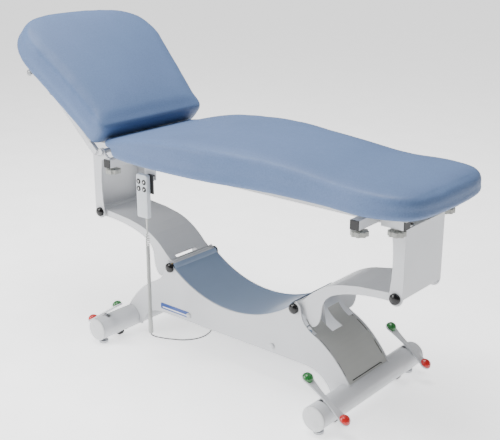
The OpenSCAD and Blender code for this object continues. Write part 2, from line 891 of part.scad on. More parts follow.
// Paper roll rod in two hooks under the head end.
roll_s = 430;
roll_n = -46;
roll_r = 8;
roll_half = 270;

module paper_roll_rod() {
  at_origin() color(grey) at_back() {
    y_bar(roll_s, roll_n, roll_r, -roll_half, roll_half);
    both_sides() dome(roll_s, roll_half, roll_n, 12, 8);
  }
}

// Linear actuator of the back section, fixed below the cross members.
back_act_z = hinge_z - yoke_h;
back_act_x0 = -410;
back_act_x1 = -40;
back_act_r = 17;
back_rod_r = 9;
yoke_pin_r = 7;

module back_actuator_body() {
  at_origin() color(steel) {
    difference() {
      translate([back_act_x0, 0, back_act_z]) rotate([0, 90, 0])
        cylinder(r = back_act_r, h = back_act_x1 - back_act_x0);
      translate([back_act_x0 - 1, 0, back_act_z]) rotate([0, 90, 0])
        cylinder(r = back_rod_r + 0.05, h = 300);
    }
    translate([-162, 12, back_act_z - 12]) difference() {
      cube([40, 50, 24]);
      translate([-1, -12, 12]) rotate([0, 90, 0]) cylinder(r = back_act_r, h = 60);
    }
    translate([-122, 45, back_act_z]) rotate([0, 90, 0]) cylinder(r = 17, h = 110);
    translate([-176, -12, back_act_z + 10]) difference() {
      cube([22, 24, bed_z - 18 - back_act_z - 10]);
      translate([-1, 12, -10]) rotate([0, 90, 0]) cylinder(r = back_act_r, h = 60);
    }
  }
}

module back_actuator_rod() {
  at_origin() color(steel) {
    translate([hinge_x, 0, back_act_z]) rotate([0, 90, 0]) cylinder(r = back_rod_r, h = 300);
    y_bar(hinge_x, back_act_z, 11, -lever_y0 + 1, lever_y0 - 1);
    y_bar(hinge_x, back_act_z, yoke_pin_r, -lever_y1 - 3, lever_y1 + 3);
  }
}

// ---- Handset and cord ----

handset_x = -276;
handset_y = -264;
handset_z = 552;

module handset_outline() {
  translate([handset_x, handset_z]) polygon([
    [-handset_w / 2 + 5, 0], [handset_w / 2 - 5, 0], [handset_w / 2 - 1, 5],
    [handset_w / 2, handset_l - 12], [handset_w / 2 - 5, handset_l],
    [-handset_w / 2 + 5, handset_l], [-handset_w / 2, handset_l - 12], [-handset_w / 2 + 1, 5]
  ]);
}

button_r = 8;
button_dx = 13.5;
button_z1 = 132;
button_z2 = 106;
boot_l = 42;

// Middle of the hanging cord.
coil_x = handset_x + 12;
coil_y = handset_y + handset_d / 2;

module handset_shell() {
  at_origin() color("#cfd2d4") difference() {
    union() {
      slab(handset_y, handset_y + handset_d) handset_outline();
      translate([coil_x, coil_y, handset_z - boot_l]) cylinder(r1 = 3, r2 = 5, h = boot_l);
    }
    for (dx = [-button_dx, button_dx], z = [button_z1, button_z2])
      y_bar(handset_x + dx, handset_z + z, button_r + 0.3, handset_y - 1, handset_y + 5);
  }
}

module button(dx, dz) {
  at_origin() color(black) y_bar(handset_x + dx, handset_z + dz, button_r, handset_y - 1.8, handset_y + 3);
}

module button_raise() { button(-button_dx, button_z1); }
module button_lower() { button(-button_dx, button_z2); }
module button_back_up() { button(button_dx, button_z1); }
module button_back_down() { button(button_dx, button_z2); }

// Clip on the handset's back that drops over the upturned lip of the tab.
hook_x0 = -266;
hook_w = 30;

module handset_hook() {
  y0 = handset_y + handset_d;
  y1 = lip_y + tab_t;
  over = hook_z + lip_h + 0.4;
  at_origin() color(black) translate([hook_x0, 0, 0]) {
    translate([0, y0, over - 65]) cube([hook_w, lip_y - 0.4 - y0, 68]);
    translate([0, y0, over]) cube([hook_w, y1 + 3.4 - y0, 3]);
    translate([0, y1 + 0.4, hook_z + tab_t + 1]) cube([hook_w, 3, over + 3 - hook_z - tab_t - 1]);
  }
}

// Middle line of the cable's last stretch, from the sleeve to the control box.
cable_points = [
  [-264, -254.5, 108], [-263, -254, 102], [-258, -251, 97], [-248, -245, 93], [-233, -235, 90],
  [-215, -223, 87], [-196, -209, 85], [-177, -194, 83], [-160, -177, 82], [-145, -158, 82],
  [-132, -138, 84], [-121, -119, 89], [-113, -104, 98], [-108, -96, 110], [-106, -92, 124],
  [-106, -92, 156]
];

module cord_coil() {
  at_origin() color("#d9dad8") translate([coil_x, coil_y, 176]) cylinder(d = coil_d, h = handset_z - boot_l - 176);
}

module cord_sleeve() {
  at_origin() color("#d9dad8") translate([coil_x, coil_y, 108]) cylinder(r1 = 9.5, r2 = 8, h = 68);
}

// Tube swept along points, with n sides.
module sweep(points, d, n = 8) {
  last = len(points) - 1;
  function dir(i) = let (v = points[min(i + 1, last)] - points[max(i - 1, 0)]) v / norm(v);
  function side(i) = let (v = cross(dir(i), [0.3, -1, 0])) v / norm(v);
  rings = [
    for (i = [0 : last]) let (u = side(i), w = cross(dir(i), u))
      for (k = [0 : n - 1]) points[i] + d / 2 * (cos(360 * k / n) * u + sin(360 * k / n) * w)
  ];
  faces = concat(
    [[for (k = [0 : n - 1]) k]],
    [for (i = [0 : last - 1], k = [0 : n - 1])
      [i * n + k, (i + 1) * n + k, (i + 1) * n + (k + 1) % n, i * n + (k + 1) % n]],
    [[for (k = [n - 1 : -1 : 0]) last * n + k]]
  );
  polyhedron(rings, faces);
}

module cord_cable() { at_origin() color("#6f7274") sweep(cable_points, cable_d); }

side_plate_near();
side_plate_far();
trough_panel();
cover_panels();
floor_tubes();
tube_end_caps();
cross_braces();
control_box();
base_pivots();
levelling_feet();
head_pedal_bars();
head_pedal_green();
head_pedal_red();
foot_pedal_bars();
foot_pedal_green();
foot_pedal_red();
head_castor_carrier();
head_wheelset();
foot_castor_carrier();
foot_wheelset();
head_arm();
head_arm_bushes();
foot_arm();
foot_arm_bushes();
lift_actuator_body();
lift_actuator_rod();
head_bracket();
head_outer_pivot();
foot_bracket();
foot_outer_pivot();
slide_blocks();
bed_rails();
cross_members();
accessory_sockets();
socket_plugs();
hinge_lugs();
knob_head_near();
knob_head_far();
knob_foot_near();
knob_foot_far();
knob_end_near();
knob_end_far();
main_board();
main_pad();
back_actuator_body();
back_actuator_rod();
back_frame();
back_axle_caps();
back_board();
back_pad();
paper_roll_rod();
handset_shell();
handset_hook();
button_raise();
button_lower();
button_back_up();
button_back_down();
cord_coil();
cord_sleeve();
cord_cable();
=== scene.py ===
"""Looks of the examination couch: upholstery, cords, panels' small details and every material."""

import json
import math

import bpy
import bmesh
import numpy as np
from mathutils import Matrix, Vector


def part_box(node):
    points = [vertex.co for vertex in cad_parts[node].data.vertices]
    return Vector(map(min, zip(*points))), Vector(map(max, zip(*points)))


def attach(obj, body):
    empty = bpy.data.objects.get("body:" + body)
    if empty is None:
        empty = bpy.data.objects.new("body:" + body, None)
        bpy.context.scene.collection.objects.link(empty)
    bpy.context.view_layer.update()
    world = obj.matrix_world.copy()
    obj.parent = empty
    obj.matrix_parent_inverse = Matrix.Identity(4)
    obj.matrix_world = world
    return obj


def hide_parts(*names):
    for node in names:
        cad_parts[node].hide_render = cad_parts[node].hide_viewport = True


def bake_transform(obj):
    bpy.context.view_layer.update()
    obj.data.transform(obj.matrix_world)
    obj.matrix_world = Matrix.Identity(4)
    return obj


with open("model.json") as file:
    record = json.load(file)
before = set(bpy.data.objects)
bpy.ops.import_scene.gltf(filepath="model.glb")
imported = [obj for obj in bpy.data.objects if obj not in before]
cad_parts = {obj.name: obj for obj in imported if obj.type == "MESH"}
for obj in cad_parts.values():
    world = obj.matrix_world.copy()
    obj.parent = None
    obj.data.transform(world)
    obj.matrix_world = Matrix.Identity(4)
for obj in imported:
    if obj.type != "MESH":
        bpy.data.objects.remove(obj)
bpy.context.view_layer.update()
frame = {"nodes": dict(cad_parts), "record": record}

# The middle of the base, from which places along the couch are given, in metres.
tube_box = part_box("floor_tubes")
MID_X = (tube_box[0][0] + tube_box[1][0]) / 2
HINGE = Vector((MID_X - 0.505, 0, 0.750))
BACK_ANGLE = math.radians(42)
UP = Vector((0, 0, 1))


def at(x, y, z):
    """A point in the row frame, with x counted from the middle of the base."""
    return Vector((MID_X + x, y, z))


def on_back(s, y, n):
    """A point on the back section: s from the hinge towards the head, n off the boards' underside."""
    c, k = math.cos(BACK_ANGLE), math.sin(BACK_ANGLE)
    return HINGE + Vector((-s * c + n * k, y, s * k + n * c))


# ---- Camera ----

def make_camera():
    """The camera, placed from the middle of the base and aimed by its pitch and heading."""
    data = bpy.data.cameras.new("camera")
    data.lens = 66.85
    data.sensor_width = 36
    data.clip_end = 50
    camera = bpy.data.objects.new("camera", data)
    camera.location = at(2.0164, -2.3994, 1.5797)
    camera.rotation_euler = (math.radians(90 - 18.42), 0, math.radians(40.08))
    bpy.context.collection.objects.link(camera)
    bpy.context.scene.camera = camera


make_camera()


# ---- Materials ----

class Nodes:
    """Short calls for building one material's nodes."""

    def __init__(self, name):
        self.mat = bpy.data.materials.new(name)
        self.mat.use_nodes = True
        self.tree = self.mat.node_tree
        self.bsdf = self.tree.nodes["Principled BSDF"]
        self.coords = self.add("ShaderNodeTexCoord").outputs["Object"]

    def add(self, kind, **values):
        node = self.tree.nodes.new(kind)
        for key, value in values.items():
            if key in node.inputs:
                node.inputs[key].default_value = value
            else:
                setattr(node, key, value)
        return node

    def link(self, a, b):
        self.tree.links.new(a, b)

    def noise(self, scale, detail=3, roughness=0.55, stretch=(1, 1, 1)):
        place = self.add("ShaderNodeMapping", Scale=stretch)
        self.link(self.coords, place.inputs["Vector"])
        node = self.add("ShaderNodeTexNoise", Scale=scale, Detail=detail, Roughness=roughness)
        self.link(place.outputs["Vector"], node.inputs["Vector"])
        return node.outputs["Fac"]

    def ramp(self, value, low, high, at_low=0.3, at_high=0.7):
        node = self.add("ShaderNodeValToRGB")
        node.color_ramp.elements[0].position = at_low
        node.color_ramp.elements[1].position = at_high
        node.color_ramp.elements[0].color = (*low, 1)
        node.color_ramp.elements[1].color = (*high, 1)
        self.link(value, node.inputs["Fac"])
        return node.outputs["Color"]

    def spread(self, value, low, high):
        node = self.add("ShaderNodeMapRange")
        node.inputs["To Min"].default_value = low
        node.inputs["To Max"].default_value = high
        self.link(value, node.inputs["Value"])
        return node.outputs["Result"]

    def bump(self, value, depth, under=None):
        node = self.add("ShaderNodeBump", Strength=1.0, Distance=depth)
        self.link(value, node.inputs["Height"])
        if under is not None:
            self.link(under, node.inputs["Normal"])
        return node.outputs["Normal"]


def shade(color, factor):
    return tuple(min(1.0, c * factor) for c in color)


def finish_material(name, color, rough, metal=0.0, coat=0.0, tone=0.05, blotch=5.0, grain=900.0,
                    grain_depth=0.00005, round_edge=0.0, stretch=(1, 1, 1)):
    """A plain finish with cloudy tone, uneven gloss, fine grain and softened edges."""
    n = Nodes(name)
    cloud = n.noise(blotch, 4)
    n.link(n.ramp(cloud, shade(color, 1 - tone), shade(color, 1 + tone)), n.bsdf.inputs["Base Color"])
    smear = n.noise(blotch * 5, 5)
    n.link(n.spread(smear, rough - 0.06, rough + 0.08), n.bsdf.inputs["Roughness"])
    n.bsdf.inputs["Metallic"].default_value = metal
    n.bsdf.inputs["Coat Weight"].default_value = coat
    n.bsdf.inputs["Coat Roughness"].default_value = 0.12
    rounded = None
    if round_edge:
        rounded = n.add("ShaderNodeBevel", samples=4, Radius=round_edge).outputs["Normal"]
    n.link(n.bump(n.noise(grain, 2, stretch=stretch), grain_depth, rounded), n.bsdf.inputs["Normal"])
    return n.mat


def vinyl(name, color):
    """Fine pebble grain in two sizes, a slight mottle, and a soft satin gloss."""
    n = Nodes(name)
    cloud = n.noise(3.0, 3)
    speck = n.noise(210.0, 3, 0.75)
    mix = n.add("ShaderNodeMath", operation="MULTIPLY_ADD")
    n.link(speck, mix.inputs[0])
    mix.inputs[1].default_value = 0.55
    low = n.spread(cloud, 0.05, 0.35)
    n.link(low, mix.inputs[2])
    n.link(n.ramp(mix.outputs[0], shade(color, 0.78), shade(color, 1.2), 0.28, 0.72),
           n.bsdf.inputs["Base Color"])
    n.link(n.spread(n.noise(40.0, 3), 0.50, 0.64), n.bsdf.inputs["Roughness"])
    n.bsdf.inputs["Specular IOR Level"].default_value = 0.35
    n.bsdf.inputs["Sheen Weight"].default_value = 0.03
    n.bsdf.inputs["Sheen Roughness"].default_value = 0.4
    n.bsdf.inputs["Coat Weight"].default_value = 0.02
    pebble = n.add("ShaderNodeTexVoronoi", feature="SMOOTH_F1", Scale=430.0)
    n.link(n.coords, pebble.inputs["Vector"])
    coarse = n.bump(pebble.outputs["Distance"], 0.00042)
    n.link(n.bump(n.noise(1500.0, 2), 0.00006, coarse), n.bsdf.inputs["Normal"])
    return n.mat


WHITE = (0.56, 0.57, 0.59)
mats = {
    "white_paint": finish_material("white_paint", WHITE, 0.32, 0.0, 0.15, 0.03, grain=1400.0,
                                   grain_depth=0.00006, round_edge=0.0032),
    "white_caps": finish_material("white_caps", (0.60, 0.61, 0.62), 0.28, 0.0, 0.1, 0.02,
                                  grain_depth=0.00002, round_edge=0.001),
    "blue_panel": finish_material("blue_panel", (0.25, 0.335, 0.48), 0.34, 0.0, 0.12, 0.06, 3.0,
                                  grain=1300.0, grain_depth=0.00004, round_edge=0.001),
    "grey_panel": finish_material("grey_panel", (0.36, 0.365, 0.35), 0.38, 0.0, 0.1, 0.05, 4.0,
                                  grain=1300.0, grain_depth=0.00006, round_edge=0.001),
    "grey_plastic": finish_material("grey_plastic", (0.35, 0.36, 0.37), 0.5, round_edge=0.001),
    "black_gloss": finish_material("black_gloss", (0.002, 0.002, 0.0025), 0.16, 0.0, 0.25, 0.1,
                                   grain_depth=0.00001),
    "black_plastic": finish_material("black_plastic", (0.005, 0.005, 0.006), 0.5, round_edge=0.0008),
    "steel": finish_material("steel", (0.46, 0.47, 0.49), 0.36, 0.95, 0.0, 0.08, 30.0, grain=500.0,
                             grain_depth=0.00003, round_edge=0.0008, stretch=(1, 1, 0.1)),
    "wheel_rubber": finish_material("wheel_rubber", (0.02, 0.02, 0.021), 0.7, grain_depth=0.00012),
    "green_grip": finish_material("green_grip", (0.008, 0.13, 0.02), 0.26, 0.0, 0.4, 0.06, 20.0,
                                  grain_depth=0.00003),
    "red_grip": finish_material("red_grip", (0.50, 0.006, 0.004), 0.26, 0.0, 0.4, 0.06, 20.0,
                                grain_depth=0.00003),
    "bronze": finish_material("bronze", (0.55, 0.36, 0.15), 0.35, 0.9, tone=0.1, blotch=40.0),
    "actuator_grey": finish_material("actuator_grey", (0.42, 0.43, 0.45), 0.4, 0.8, tone=0.06,
                                     stretch=(0.1, 1, 1), round_edge=0.001),
    "bright_rod": finish_material("bright_rod", (0.75, 0.76, 0.78), 0.14, 1.0, tone=0.03,
                                  grain_depth=0.00001, stretch=(0.05, 1, 1)),
    "knob_grey": finish_material("knob_grey", (0.33, 0.335, 0.31), 0.5, 0.0, 0.0, 0.05, 30.0,
                                 grain=700.0, grain_depth=0.00012, round_edge=0.002),
    "board": finish_material("board", (0.40, 0.41, 0.41), 0.6, tone=0.08, grain=300.0,
                             grain_depth=0.0001, round_edge=0.001),
    "blue_vinyl": vinyl("blue_vinyl", (0.090, 0.147, 0.280)),
    "rod_grey": finish_material("rod_grey", (0.30, 0.31, 0.32), 0.35, 0.4, round_edge=0.001),
    "handset_grey": finish_material("handset_grey", (0.50, 0.53, 0.56), 0.42, 0.0, 0.05, 0.03, 25.0,
                                    grain=1600.0, grain_depth=0.00008),
    "cord_white": finish_material("cord_white", (0.42, 0.43, 0.42), 0.4, tone=0.05, blotch=20.0,
                                  grain_depth=0.00003),
    "cable_grey": finish_material("cable_grey", (0.17, 0.175, 0.18), 0.45, tone=0.05, blotch=20.0,
                                  grain_depth=0.00003),
}
mats["black_gloss"].node_tree.nodes["Principled BSDF"].inputs["Specular IOR Level"].default_value = 0.3
badge_blue = finish_material("badge_blue", (0.006, 0.05, 0.26), 0.3, coat=0.3, tone=0.04)
# Painted shade: a near-black finish for the strips that stand in for the shadow inside the cover's open
# slits and slot.
painted_slot_shade = finish_material("painted_slot_shade", (0.015, 0.015, 0.016), 0.9)
icon_white = finish_material("icon_white", (0.75, 0.75, 0.76), 0.5)

slot_of = {s["node"]: s["material_slot"] for s in frame["record"]["subparts"]}
for name, node in frame["nodes"].items():
    node.data.materials.clear()
    node.data.materials.append(mats[slot_of[name]])


# ---- Making pieces ----

def new_mesh(name, points, faces, material, smooth=True):
    data = bpy.data.meshes.new(name)
    data.from_pydata([tuple(p) for p in points], [], faces)
    data.update()
    piece = bpy.data.objects.new(name, data)
    bpy.context.collection.objects.link(piece)
    data.materials.append(material)
    for f in data.polygons:
        f.use_smooth = smooth
    return piece


def tidy_mesh(piece, merge=0.0002):
    bm = bmesh.new()
    bm.from_mesh(piece.data)
    bmesh.ops.remove_doubles(bm, verts=bm.verts, dist=merge)
    bmesh.ops.recalc_face_normals(bm, faces=bm.faces)
    bm.to_mesh(piece.data)
    bm.free()


def soft_edges(piece, width, steps):
    bevel = piece.modifiers.new("bevel", "BEVEL")
    bevel.width = width
    bevel.segments = steps
    bevel.limit_method = "ANGLE"
    bevel.angle_limit = math.radians(35)
    bevel.harden_normals = False


def prism(name, outline, place, low, high, material, edge=0.0, steps=3):
    """A flat outline of (u, v) pairs, stretched from low to high; place puts (u, v, w) in the frame."""
    n = len(outline)
    points = [place(u, v, w) for w in (low, high) for u, v in outline]
    faces = [list(range(n)), list(range(2 * n - 1, n - 1, -1))]
    faces += [[i, (i + 1) % n, n + (i + 1) % n, n + i] for i in range(n)]
    piece = new_mesh(name, points, faces, material, smooth=bool(edge))
    tidy_mesh(piece)
    if edge:
        soft_edges(piece, edge, steps)
    return piece


def round_box(w, h, r, steps):
    """Outline of a rectangle about the origin with round corners."""
    corners = [(w / 2 - r, h / 2 - r, 0), (r - w / 2, h / 2 - r, 90), (r - w / 2, r - h / 2, 180),
               (w / 2 - r, r - h / 2, 270)]
    return [(x + r * math.cos(math.radians(a + 90 * i / steps)),
             y + r * math.sin(math.radians(a + 90 * i / steps)))
            for x, y, a in corners for i in range(steps + 1)]


def lathe(name, profile, centre, axis, material, around=40):
    """A turned piece: profile holds (radius, height) pairs along axis from centre."""
    turn = Vector(axis).normalized().to_track_quat("Z", "Y").to_matrix()
    points = [centre + turn @ Vector((r * math.cos(2 * math.pi * k / around),
                                      r * math.sin(2 * math.pi * k / around), h))
              for r, h in profile for k in range(around)]
    faces = [[i * around + k, i * around + (k + 1) % around, (i + 1) * around + (k + 1) % around,
              (i + 1) * around + k] for i in range(len(profile) - 1) for k in range(around)]
    piece = new_mesh(name, points, faces, material)
    tidy_mesh(piece, 0.00001)
    return piece


def curve_piece(name, points, radius, material):
    data = bpy.data.curves.new(name, "CURVE")
    data.dimensions = "3D"
    data.bevel_depth = radius
    data.bevel_resolution = 3
    data.use_fill_caps = True
    line = data.splines.new("POLY")
    line.points.add(len(points) - 1)
    for spot, p in zip(line.points, points):
        spot.co = (*p, 1)
    line.use_smooth = True
    data.materials.append(material)
    piece = bpy.data.objects.new(name, data)
    bpy.context.collection.objects.link(piece)
    return piece


def tube(name, points, radius, material):
    """A round mesh tube along the points, closed at both ends."""
    sides = 8
    rings = []
    side = Vector((1, 0, 0))
    for i, p in enumerate(points):
        along = (points[min(i + 1, len(points) - 1)] - points[max(i - 1, 0)]).normalized()
        side = (side - along * side.dot(along)).normalized()
        other = along.cross(side)
        turns = [2 * math.pi * k / sides for k in range(sides)]
        rings.append([p + radius * (math.cos(a) * side + math.sin(a) * other) for a in turns])
    corners = [p for r in rings for p in r]
    faces = [[i * sides + k, i * sides + (k + 1) % sides, (i + 1) * sides + (k + 1) % sides,
              (i + 1) * sides + k] for i in range(len(points) - 1) for k in range(sides)]
    faces += [list(range(sides))[::-1], [len(corners) - sides + k for k in range(sides)]]
    return new_mesh(name, corners, faces, material)


def smooth_line(points, steps=4):
    """The points joined by a Catmull-Rom curve, with steps parts between each two."""
    line = []
    for i in range(len(points) - 1):
        a, b, c, d = (points[max(0, min(len(points) - 1, i + k))] for k in (-1, 0, 1, 2))
        for j in range(steps):
            t = j / steps
            line.append(0.5 * (2 * b + (c - a) * t + (2 * a - 5 * b + 4 * c - d) * t * t
                               + (3 * b - a - 3 * c + d) * t ** 3))
    return line + [points[-1]]


# ---- Handset cord: curly part, sleeve and cable ----

COIL_R = 0.0052
WIRE_R = 0.0022
coil_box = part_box("cord_coil")
COIL_X = (coil_box[0][0] + coil_box[1][0]) / 2
COIL_Y = (coil_box[0][1] + coil_box[1][1]) / 2
COIL_TOP = coil_box[1][2]
COIL_LOW = coil_box[0][2]


def coil_points():
    """A short straight lead, a few open turns, then close turns down to the sleeve."""
    centre = Vector((COIL_X, COIL_Y, 0))
    lead = 0.014
    points = [centre + UP * (COIL_TOP - lead * i / 4) for i in range(5)]
    z = COIL_TOP - lead
    per_turn = 14
    angle = 0.0
    turn = 0
    while z > COIL_LOW + 0.001:
        pitch = 0.0105 - 0.0057 * min(1.0, turn / 7)
        grow = min(1.0, (turn + 0.25) / 1.2)
        for k in range(per_turn):
            angle += 2 * math.pi / per_turn
            z -= pitch / per_turn
            grow = min(1.0, grow + 0.06)
            points.append(centre + UP * z + COIL_R * grow * Vector((math.cos(angle), math.sin(angle), 0)))
        turn += 1
    return points


line = coil_points()
coil = tube("curly_cord", line, WIRE_R, mats["cord_white"])
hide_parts("cord_coil")
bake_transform(coil)

sleeve_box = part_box("cord_sleeve")
SLEEVE_LOW = sleeve_box[0][2]
sleeve = lathe("cord_sleeve_shell", [
    (0.0, 0.0), (0.0072, 0.0), (0.0090, 0.0012), (0.0095, 0.0045), (0.0094, 0.012), (0.0090, 0.016),
    (0.0088, 0.030), (0.0083, 0.046), (0.0080, 0.060), (0.0074, 0.0655), (0.0060, 0.068), (0.0, 0.068),
], Vector((COIL_X, COIL_Y, SLEEVE_LOW)), UP, mats["cord_white"])
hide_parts("cord_sleeve")
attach(sleeve, "cord_end")

CABLE_R = 0.0025
cable_points = [at(x, y, z) for x, y, z in (
    (-0.264, -0.2545, 0.108), (-0.263, -0.254, 0.102), (-0.258, -0.251, 0.097), (-0.248, -0.245, 0.093),
    (-0.233, -0.235, 0.090), (-0.215, -0.223, 0.087), (-0.196, -0.209, 0.085), (-0.177, -0.194, 0.083),
    (-0.160, -0.177, 0.082), (-0.145, -0.158, 0.082), (-0.132, -0.138, 0.084), (-0.121, -0.119, 0.089),
    (-0.113, -0.104, 0.098), (-0.108, -0.096, 0.110), (-0.106, -0.092, 0.124), (-0.106, -0.092, 0.156))]
cable_line = smooth_line(cable_points)
cable = curve_piece("handset_cable", cable_line, CABLE_R, mats["cable_grey"])
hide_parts("cord_cable")
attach(cable, "cord_end")


# ---- Upholstery ----

# How the pads are swelled as cloth, in metres: the remesh's voxel, the furthest that a point may
# move, and how much lower the shape starts so that it ends at the solid's height.
VOXEL = 0.0075
SWELL_CAP = 0.007
SWELL_ROOM = 0.004
CLOTH_FRAMES = 16
EVENING_ROUNDS = 14
# The pads' underside lies this far above the boards, and their upper edge has this radius.
REST_GAP = 0.0015
PAD_EDGE_R = 0.017

def rim_of(points):
    """Closed outline through flat points, evenly spaced and slightly smoothed."""
    points = np.unique(np.round(points, 4), axis=0)
    centre = (points.min(0) + points.max(0)) / 2
    turn = np.argsort(np.arctan2(points[:, 1] - centre[1], points[:, 0] - centre[0]))
    ring = points[turn]
    ring = np.vstack([ring, ring[:1]])
    steps = np.r_[0, np.cumsum(np.linalg.norm(np.diff(ring, axis=0), axis=1))]
    spots = np.linspace(0, steps[-1], 260, endpoint=False)
    ring = np.c_[np.interp(spots, steps, ring[:, 0]), np.interp(spots, steps, ring[:, 1])]
    for _ in range(6):
        ring = 0.5 * ring + 0.25 * (np.roll(ring, 1, 0) + np.roll(ring, -1, 0))
    return ring


def crown_line(points, low):
    """Height of the pad's top against its length, from the CAD solid's upper corners."""
    top = {}
    for u, h in points:
        if h > low:
            top[round(u, 3)] = max(h, top.get(round(u, 3), 0))
    u = np.array(sorted(top))
    return u, np.array([top[k] for k in u])


def pad_shell(name, ring, height, place, crown, inward, tuck=lambda u: 0.014, base=lambda u: 0.0):
    """Closed pad: tucked-in underside at base, a bulging side, round upper edge and a crowned top.

    ring is the outline, height the top's height along it and place puts a point in the row frame.
    crown is the top's rise, which fades towards a line down the middle that stops inward from the ends.
    """
    lo, hi = ring.min(0), ring.max(0)
    spine = np.c_[np.clip(ring[:, 0], lo[0] + inward, hi[0] - inward), np.zeros(len(ring))]
    way = spine - ring
    reach = np.linalg.norm(way, axis=1)
    along = np.roll(ring, -1, 0) - np.roll(ring, 1, 0)
    normal = np.c_[-along[:, 1], along[:, 0]]
    normal /= np.linalg.norm(normal, axis=1)[:, None]
    slant = np.abs((normal * way).sum(1)) / reach
    unit = way / reach[:, None] / np.maximum(slant, 0.6)[:, None]
    rings = []

    def layer(inset, level, fraction=None):
        flat = ring + unit * inset if fraction is None else ring + unit * PAD_EDGE_R + (
            spine - ring - unit * PAD_EDGE_R) * fraction
        rings.append([place(u, v, level(u)) for u, v in flat])

    def thin(u):
        """Shrinks the roundings where the pad is thin."""
        return min(1.0, (height(u) - base(u)) / 0.062)

    for fraction in (1.0, 0.6, 0.25):
        layer(0, base, fraction)
    tucked = np.array([tuck(u) for u in ring[:, 0]])[:, None]
    for share, h in ((1.0, 0.0), (0.62, 0.05), (0.33, 0.20), (0.12, 0.48), (0.02, 1.0)):
        layer(share * tucked, lambda u, h=h: base(u) + h * (0.004 + tuck(u)) * thin(u))
    for share in (0.35, 0.7):
        layer(-0.0014, lambda u, k=share: (base(u) + (0.004 + tuck(u)) * thin(u)) * (1 - k)
              + (height(u) - (crown + PAD_EDGE_R) * thin(u)) * k)
    for a in range(0, 91, 15):
        a = math.radians(a)
        layer(PAD_EDGE_R * (1 - math.cos(a)),
              lambda u, a=a: height(u) - (crown + PAD_EDGE_R * (1 - math.sin(a))) * thin(u))
    for k in range(1, 15):
        t = k / 14
        rise = crown * (1 - (1 - t) ** 2.2)
        layer(0, lambda u, rise=rise: height(u) - (crown - rise) * thin(u), t)
    count = len(ring)
    points = [p for r in rings for p in r]
    faces = [[i * count + k, i * count + (k + 1) % count, (i + 1) * count + (k + 1) % count,
              (i + 1) * count + k] for i in range(len(rings) - 1) for k in range(count)]
    piece = new_mesh(name, points, faces, mats["blue_vinyl"])
    tidy_mesh(piece, 0.0006)
    return piece


def apply_modifiers(piece):
    """Replaces the mesh by what its modifiers make of it."""
    graph = bpy.context.evaluated_depsgraph_get()
    made = bpy.data.meshes.new_from_object(piece.evaluated_get(graph))
    piece.modifiers.clear()
    piece.data = made
    for f in made.polygons:
        f.use_smooth = True


def inflate(piece, fixed):
    """Swells the pad as cloth under pressure, with the movement evened out so that no small creases stay.

    fixed gives each point's share of the movement, 0 to 1.
    """
    remesh = piece.modifiers.new("remesh", "REMESH")
    remesh.mode = "VOXEL"
    remesh.voxel_size = VOXEL
    apply_modifiers(piece)
    rest = np.array([v.co for v in piece.data.vertices])
    cloth = piece.modifiers.new("cloth", "CLOTH")
    cloth.settings.quality = 4
    cloth.settings.mass = 0.4
    cloth.settings.tension_stiffness = 25
    cloth.settings.compression_stiffness = 25
    cloth.settings.bending_stiffness = 4
    cloth.settings.use_pressure = True
    cloth.settings.uniform_pressure_force = 4.0
    cloth.settings.effector_weights.gravity = 0
    cloth.point_cache.frame_start = 1
    cloth.point_cache.frame_end = CLOTH_FRAMES
    scene = bpy.context.scene
    for number in range(1, CLOTH_FRAMES + 1):
        scene.frame_set(number)
    apply_modifiers(piece)
    scene.frame_set(1)
    now = np.array([v.co for v in piece.data.vertices])
    move = now - rest
    far = np.linalg.norm(move, axis=1)
    move *= (np.minimum(far, SWELL_CAP) / np.maximum(far, 1e-9))[:, None]
    pairs = np.array([e.vertices for e in piece.data.edges])
    pairs = np.vstack([pairs, pairs[:, ::-1]])
    degree = np.bincount(pairs[:, 0], minlength=len(move))[:, None]
    for _ in range(EVENING_ROUNDS):
        around = np.zeros_like(move)
        np.add.at(around, pairs[:, 0], move[pairs[:, 1]])
        move = 0.4 * move + 0.6 * around / degree
    share = np.array([fixed(Vector(p)) for p in rest])
    now = rest + move * share[:, None]
    piece.data.vertices.foreach_set("co", now.ravel())
    piece.data.update()


def smoothing(piece):
    """One level of subdivision."""
    sub = piece.modifiers.new("subdivision", "SUBSURF")
    sub.levels = 1
    sub.render_levels = 1


def ramp01(value, low, high):
    """0 below low, 1 above high, and a smooth rise between."""
    t = min(1.0, max(0.0, (value - low) / (high - low)))
    return t * t * (3 - 2 * t)


def soften(u, h, count, rounds, ends):
    """The height line resampled and smoothed, less so before the stretch between the two ends."""
    soft_u = np.linspace(u[0], u[-1], count)
    soft_h = np.interp(soft_u, u, h)
    share = np.array([ramp01(x, *ends) for x in soft_u])[1:-1]
    for _ in range(rounds):
        soft_h[1:-1] += share * (0.25 * (soft_h[2:] + soft_h[:-2]) - 0.5 * soft_h[1:-1])
    return soft_u, soft_h


# Height of the main pad's raised underside at the head end.
HEAD_UNDERSIDE = 0.766


